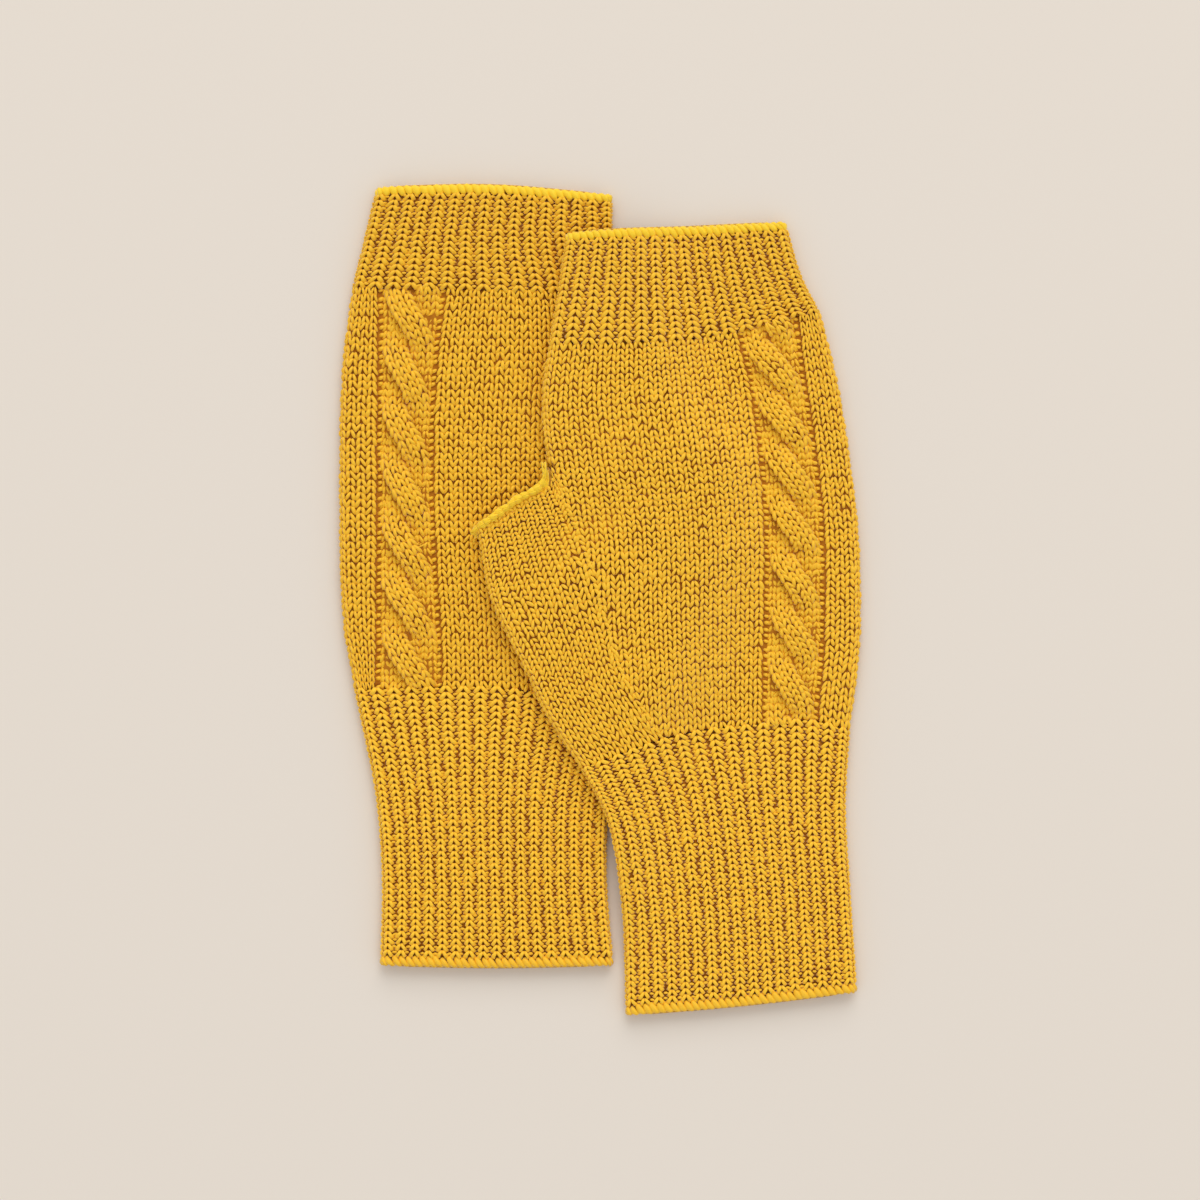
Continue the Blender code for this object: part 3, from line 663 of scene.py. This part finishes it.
def strand_chart(side, strand, w, v):
    """Surface of one strand: w counts its wales from its middle, v the rows."""
    rows, levels = hand_levels(side)
    period, shift, twist = CABLES[side]
    across = np.linspace(0, 1, 21)
    plans = [row.at(row.key_run[1] + (row.key_run[2] - row.key_run[1]) * across) for row in rows]
    middle = chord_lengths([plan[10] for plan in plans])
    fine = np.arange(v[0] - 1.0, v[-1] + 1.001, 0.25)
    grid = through(levels, np.array(plans).reshape(len(rows), -1), fine).reshape(len(fine), 21, 2)
    phase = np.interp(fine, levels, middle) / period - shift
    turn = np.floor(phase)
    part = phase - turn
    over = (turn + strand) % 2 == 0
    # the upper strand takes the whole way between two crossings, and the one below goes across in
    # one row, hidden by the upper one
    swing = np.where(over, 0.5 * part + 0.5 * smooth(part), smooth((part - 0.46) / 0.08))
    goes_in = over == (twist > 0)
    place = STRAND_SIDE + STRAND_SWING * np.where(goes_in, swing, 1 - swing)
    centre = np.array([[np.interp(p, across, g[:, 0]), np.interp(p, across, g[:, 1])]
                       for p, g in zip(place, grid)])
    centre[1:-1] = (centre[:-2] + 2 * centre[1:-1] + centre[2:]) / 4
    across_cable = grid[:, 20] - grid[:, 0]
    level = across_cable / np.linalg.norm(across_cable, axis=1)[:, None]
    way = np.gradient(centre, axis=0)
    way /= np.linalg.norm(way, axis=1)[:, None]
    aside = np.stack([way[:, 1], -way[:, 0]], axis=1)
    aside *= np.sign((aside * level).sum(axis=1))[:, None]
    aside = np.where(over[:, None], 0.75 * aside + 0.25 * level, level)
    cross = np.sin(math.pi * part)
    rise = 0.4 + np.where(over, 1.8 * cross, -1.4 * cross)
    # between two crossings the strands part and leave a small dark hollow
    hollow = 0.9 + 1.1 * np.exp(-(np.minimum(part, 1 - part) * period / 1.7) ** 2)
    columns = (*centre.T, *aside.T, rise, hollow)
    at = np.stack([np.interp(v, fine, column) for column in columns], axis=1)
    plan = at[:, None, :2] + at[:, None, 2:4] * (w * STRAND_WALE)[None, :, None]
    crown = -at[:, None, 5] * (w / 1.5)[None, :] ** 2
    z = lift(side, plan) + HAND_HEIGHT + at[:, None, 4] + crown
    return np.concatenate([plan, z[..., None]], axis=-1)


cable_stitch = stitch_mesh("cable_stitch", leg_pair(
    (1.40, 1.10), (0.15, 1.45), (1.20, -1.45), radius=0.66, dip=0.6), STRAND_WALE, STRAND_ROW)
for side in ("left", "right"):
    for strand in (0, 1):
        chart = Chart(-1.5, 1.5, 0, TOP_ROW[side], lambda w, v: strand_chart(side, strand, w, v))
        rope = knit(f"{side}_cable_strand_{strand + 1}", cable_stitch, chart, -1.5, 3, 0,
                    TOP_ROW[side], seed=11 + strand)
        finish_stitches(rope, side)
    # stitches of the lower strand, low down, that show where the upper one leaves the side
    rows, levels = hand_levels(side)
    middle = chord_lengths([row.at((row.key_run[1] + row.key_run[2]) / 2) for row in rows])
    spans = [([0, 6], [row.key_run[1] + 0.5, row.key_run[2] - 0.5], None, None) for row in rows]

    def ground_relief(wale, row):
        period, shift, _ = CABLES[side]
        turn = np.interp(row, levels, middle) / period - shift
        gap = abs(turn - np.round(turn)) * period
        return -1.05 - 0.25 * np.exp(-(gap / 2.0) ** 2 - ((wale - 3) / 1.1) ** 2)

    chart = Chart(0, 6, 0, TOP_ROW[side], lambda w, v: row_chart(
        side, rows, levels, spans, w, v, HAND_HEIGHT, relief=ground_relief))
    ground = knit(side + "_cable_ground", plain_stitch, chart, 0, 6, 0, TOP_ROW[side], seed=13)
    finish_stitches(ground, side)


# ---- Ribbed cuffs ----
# One by one rib at the wrist and the fingers: knitted wales stand up as rounded ridges about 4.4 mm
# apart, and the purled wales between them are drawn in to narrow dark furrows.
CUFF_HEIGHT = 5.0
RIB_DEPTH = 0.92
RIB_ROW = 1.92
WRIST_EDGE = 3.0
FINGER_EDGE = 2.7
# rows of the wrist cuff from the hem up, and of the finger cuff above the hand: outer fold,
# middle, thumb side fold
WRIST_ROWS = {
    "left": [[(-67.7, -112.4), (-31.4, -113.1), (4.4, -112.4)],
             [(-67.2, -85.5), (-32.0, -85.5), (2.3, -85.5)],
             [(-69.0, -61.0), (-32.9, -60.1), (3.2, -61.0)]],
    "right": [[(79.2, -120.6), (43.6, -124.8), (7.7, -127.8)],
              [(77.0, -87.1), (40.9, -89.5), (6.3, -93.2)],
              [(75.7, -62.9), (38.7, -64.4), (2.3, -68.4)]]}
FINGER_ROWS = {
    "left": [[(-72.7, 110.9), (-33.5, 110.3), (4.7, 109.4)],
             [(-68.9, 127.0), (-33.5, 127.7), (4.1, 124.6)]],
    "right": [[(62.3, 99.3), (24.6, 95.3), (-13.0, 95.0)],
              [(57.2, 116.3), (23.1, 114.6), (-10.5, 112.4)]]}
FURROWS = {"wrist": 16, "finger": 15}


def rib_relief(rib, row):
    """Depth of the furrows, which lie on the whole numbers; it is the same in every row."""
    gap = abs(rib - np.round(rib))
    return -RIB_DEPTH * (1 - smooth(gap / 0.25))


def cuff_frame(side, part):
    """Key rows of a cuff, their distance from its first one, and where the ribs lie on them."""
    hand = HOLD_ROWS[side]
    keys = WRIST_ROWS[side] + [hand[0]] if part == "wrist" else [hand[-1]] + FINGER_ROWS[side]
    rows = [Row(k) for k in keys]
    levels = chord_lengths([row.at(row.length / 2) for row in rows])
    last = FURROWS[part] - 1
    inset = CUFF_HEIGHT / 2
    mean = sum(row.length for row in rows) / len(rows)
    pitch = (mean - 2 * inset - 3.6) / last
    low, high = -2.0 / pitch, last + 1.6 / pitch
    spans = [([low, 0, last, high],
              [inset, inset + 2.0, row.length - inset - 1.6, row.length - inset], low, high)
             for row in rows]
    return rows, levels, spans, pitch, last


RIB = 4.35
rib_stitch = stitch_mesh("rib_stitch", leg_pair(
    (RIB / 2, RIB_ROW / 2), (0.13, 1.15), (1.86, -1.05), radius=0.71, dip=0.4, blunt=0.5),
    RIB, RIB_ROW)
# painted light: the yarn of the wrist ribs is a lighter copy of the yarn, so that they show
# brighter
rib_painted_light_finish = {"left": yarn("mustard_yarn_ribs_painted_light_left", "#FFD02A", "#FFC01A"),
              "right": yarn("mustard_yarn_ribs_painted_light_right", "#FFD02A", "#FFC01A")}
rib_purl = stitch_mesh("rib_purl", [
    dict(top=(RIB / 2 + 0.42, 1.5), foot=(RIB / 2 - 0.42, 1.2), radius=0.47, dip=0.1,
         around=5, rings=4)], RIB, RIB_ROW)

for side in ("left", "right"):
    for part in ("wrist", "finger"):
        rows, levels, spans, pitch, last = cuff_frame(side, part)
        edge = WRIST_EDGE if part == "wrist" else FINGER_EDGE
        high = int(round((levels[-1] - edge) / RIB_ROW))
        height = (levels[-1] - edge) / high
        chart = Chart(-2, last + 2, 0, levels[-1] / height, lambda w, v: row_chart(
            side, rows, levels / height, spans, w, v, CUFF_HEIGHT, wide=pitch, relief=rib_relief),
            fine=(8, 2))
        first = edge / height + 0.1 if part == "wrist" else -0.2
        ridges = knit(f"{side}_{part}_ribs", rib_stitch, chart, -2, last + 4, first, high,
                      keep=shown_cloth(side), seed=17, uneven=0.45)
        # the wrist ribs take the lighter copy of the yarn, with painted light
        finish_stitches(ridges, side, rib_painted_light_finish if part == "wrist" else None)
        bars = knit(f"{side}_{part}_furrows", rib_purl, chart, -1.5, last + 3, first, high,
                    keep=shown_cloth(side), seed=19)
        finish_stitches(bars, side)


# ---- Cast on and bound off edges ----
# The hem at the wrist and the edge at the fingers: a chain of yarn strands that lean one way and
# roll over the rim of the cuff.
STRAND = 3.0
CURL = 1.5            # radius of the roll, in millimetres
CURL_START = 1.3      # distance from the rim where it begins
CURL_TURN = math.radians(130)
EDGE_YARN = {"wrist": 1.18, "finger": 1.3}
# a strand leans from the upper left to the lower right on both mittens
EDGE_LEAN = {("left", "wrist"): 1, ("left", "finger"): -1,
             ("right", "wrist"): -1, ("right", "finger"): 1}
# painted light: the yarn of the edges at the fingers and the thumb is a lighter, yellower copy of
# the yarn, as on crests turned to the light
painted_light_finish = {"left": yarn("mustard_yarn_painted_light_left", "#FFDA28", "#FFCC14"),
                 "right": yarn("mustard_yarn_painted_light_right", "#FFDA28", "#FFCC14")}


def edge_chart(side, part, w, v):
    """Surface of a cuff's edge in halves of a rib and lengths of a strand, round its rim."""
    rows, levels, spans, pitch, last = cuff_frame(side, part)
    v = v * STRAND
    turn = np.clip((CURL_START - v) / CURL, 0, CURL_TURN)
    inward = np.where(v > CURL_START, v, CURL_START - CURL * np.sin(turn))
    drop = np.where(v > CURL_START, 0.0, CURL * (1 - np.cos(turn)))
    cuff = Chart(-1.5, last + 1.5, -1.0, 7.0, lambda a, b: row_chart(
        side, rows, levels, spans, a, b if part == "wrist" else levels[-1] - b, CUFF_HEIGHT,
        wide=pitch), fine=(8, 2))
    a, b = np.meshgrid(w / 2, inward)
    point, normal = cuff.at(a.ravel(), b.ravel())
    point = point - normal * np.broadcast_to(drop[:, None], a.shape).reshape(-1, 1)
    return point.reshape(len(v), len(w), 3)


for side in ("left", "right"):
    for part in ("wrist", "finger"):
        last = FURROWS[part] - 1
        lean = 1.35 * EDGE_LEAN[side, part]
        edge_stitch = stitch_mesh("edge_stitch", [
            dict(top=(RIB / 4 - lean, 4.5), foot=(RIB / 4 + lean, -0.2), radius=EDGE_YARN[part],
                 dip=0.3, rings=8, blunt=0.5)], RIB / 2, STRAND)
        chart = Chart(-3, 2 * last + 3, -0.6, 1.4, lambda w, v: edge_chart(side, part, w, v),
                      fine=(4, 16))
        rim = knit(f"{side}_{part}_edge_stitches", edge_stitch, chart, -3, 2 * last + 6, -0.42, 1,
                   keep=shown_cloth(side), seed=23, uneven=0.5)
        # the finger edges take the lighter copy of the yarn, with painted light
        finish_stitches(rim, side, painted_light_finish if part == "finger" else None)


# ---- Rolled edge of the thumb opening ----
# The thumb's edge is the same wool, and rolls outward from the gusset as a smooth thick lip, which
# is slim at the crotch.  The stitches of the right mitten's are made, because only it is seen.
LIP_LINE = [(-17.2, 41.6), (-16.9, 38.6), (-17.5, 36.0), (-19.4, 33.9), (-22.0, 32.4),
            (-25.4, 30.6), (-29.0, 27.9), (-33.0, 25.0), (-36.4, 22.6), (-39.0, 20.6)]
# across the lip, from the stitches of the gusset over its crest and down: out and up
LIP_PROFILE = [(-4.2, -1.0), (-3.2, -1.2), (-2.2, -1.25), (-1.5, -0.6), (-1.0, 0.5), (0.0, 1.15),
               (1.0, 0.6), (1.45, -0.4), (1.3, -1.5), (0.5, -2.6)]
BAR = 2.4
BAR_ROW = 0.85


def lip_surface(w, v):
    """Surface of the lip: w counts bars along it from the crotch, v bars across it."""
    line = Row(LIP_LINE)
    along = w / w[-1] * line.length
    spot = line.at(along)
    ahead = line.at(along + 1.2) - line.at(along - 1.2)
    ahead /= np.linalg.norm(ahead, axis=1)[:, None]
    out = np.stack([ahead[:, 1], -ahead[:, 0]], axis=1)
    profile = through(chord_lengths(LIP_PROFILE), LIP_PROFILE, v * BAR_ROW)
    wave = 1 + 0.13 * np.sin(along * 0.9 + 0.4) + 0.07 * np.sin(along * 2.1)
    slim = 0.15 + 0.85 * smooth(along / 9.0)
    plump = 0.85 * wave * slim * (0.75 + 0.25 * smooth((line.length - along) / 5))
    inner = np.where(profile[:, 0] < -1.5, profile[:, 0] + 1.5, 0.0)[:, None]
    aside = (profile[:, 0][:, None] - inner) * plump[None, :] + inner * 0.5 * slim[None, :]
    plan = spot[None] + out[None] * aside[..., None]
    ridge = lift("right", spot) + HAND_HEIGHT + 0.35
    # it goes down into the fold at one end, and into the crotch at the other
    ridge = ridge - 2.6 * smooth((along - line.length + 5.0) / 5.0)
    ridge = ridge - 1.2 * smooth((3.0 - along) / 3.0)
    z = ridge[None, :] + profile[:, 1][:, None] * plump[None, :]
    return np.concatenate([plan, z[..., None]], axis=-1)


# short bars of yarn lie along the lip, as on the purl side of the knitting
lip_stitch = stitch_mesh("lip_stitch", [
    dict(top=(BAR * 1.15, BAR_ROW * 1.1), foot=(-BAR * 0.15, -BAR_ROW * 0.1),
         radius=0.56, dip=0.25)], BAR, BAR_ROW)
bars_along = int(Row(LIP_LINE).length / BAR)
bars_across = int(chord_lengths(LIP_PROFILE)[-1] / BAR_ROW)
lip_chart = Chart(0, bars_along + 1, 0, bars_across, lip_surface, fine=(6, 4))
lip = knit("right_thumb_lip", lip_stitch, lip_chart, 0, bars_along + 1, 0, bars_across, seed=29,
           uneven=0.8)
# the lip takes the lighter copy of the yarn, with painted light
finish_stitches(lip, "right", painted_light_finish)


# ---- Table, light and camera ----
# A plain pale surface, a broad soft light from beyond the finger ends, and a camera straight above.
bm = bmesh.new()
bmesh.ops.create_grid(bm, x_segments=2, y_segments=2, size=3.0)
mesh = bpy.data.meshes.new("table")
bm.to_mesh(mesh)
bm.free()
table = bpy.data.objects.new("table", mesh)
bpy.context.scene.collection.objects.link(table)
material, tree, shader = new_material("pale_matt_table")
shader.inputs["Base Color"].default_value = linear("#E4DACE")
shader.inputs["Roughness"].default_value = 0.9
mesh.materials.append(material)

world = bpy.data.worlds.new("studio")
world.use_nodes = True
world.node_tree.nodes["Background"].inputs["Color"].default_value = linear("#FFFFFF")
world.node_tree.nodes["Background"].inputs["Strength"].default_value = 0.76
bpy.context.scene.world = world
bpy.context.scene.view_settings.view_transform = "Standard"


def soft_light(name, place, aim, size, power):
    light = bpy.data.lights.new(name, "AREA")
    light.shape = "RECTANGLE"
    light.size, light.size_y = size
    light.energy = power
    lamp = bpy.data.objects.new(name, light)
    bpy.context.scene.collection.objects.link(lamp)
    lamp.location = place
    lamp.rotation_euler = (Vector(aim) - Vector(place)).to_track_quat("-Z", "Y").to_euler()


soft_light("key_light", (0.5, 4.4, 3.3), (0, 0, 0), (4.2, 4.0), 140.0)

VIEW_WIDTH = 0.3672   # width of what the camera sees, in metres, at the height of the cloth
CLOTH_HEIGHT = 0.006
SENSOR = 36.0
LENS = 85.0
camera_data = bpy.data.cameras.new("camera")
camera_data.sensor_width = SENSOR
camera_data.lens = LENS
camera = bpy.data.objects.new("camera", camera_data)
bpy.context.scene.collection.objects.link(camera)
camera.location = (0.0, 0.0, VIEW_WIDTH * LENS / SENSOR + CLOTH_HEIGHT)
bpy.context.scene.camera = camera


# ---- Cut of the cloth ----
# Each mitten is knitted in the round in three parts: hand with thumb, wrist cuff and finger cuff.
# The sizes are of the cloth opened out, all the way round and along, at its widest, in metres.
CUTS = {"hand": ((0.236, 0.124), 0.0248), "wrist_cuff": ((0.187, 0.085), 0.0119),
        "finger_cuff": ((0.176, 0.031), 0.0047)}
CUT_PARTS = {
    "hand": ("thumb_edge_fabric", "palm_stitches", "gusset_stitches", "side_stitches",
             "outer_furrow", "inner_furrow", "cable_strand_1", "cable_strand_2", "cable_ground"),
    "wrist_cuff": ("wrist_edge_fabric", "wrist_ribs", "wrist_furrows", "wrist_edge_stitches"),
    "finger_cuff": ("finger_edge_fabric", "finger_ribs", "finger_furrows", "finger_edge_stitches")}
# parts of the left mitten that each part of the right one lies on
LIES_ON = {"hand": ("hand", "wrist_cuff"), "wrist_cuff": ("wrist_cuff",),
           "finger_cuff": ("hand", "finger_cuff")}
for side in ("left", "right"):
    for part, (flat, area) in CUTS.items():
        parts = [bpy.data.objects[f"{side}_{name}"] for name in CUT_PARTS[part]]
        below = [table]
        if side == "right":
            below += [fabric["left_" + under] for under in LIES_ON[part]]
            parts += [lip] if part == "hand" else []
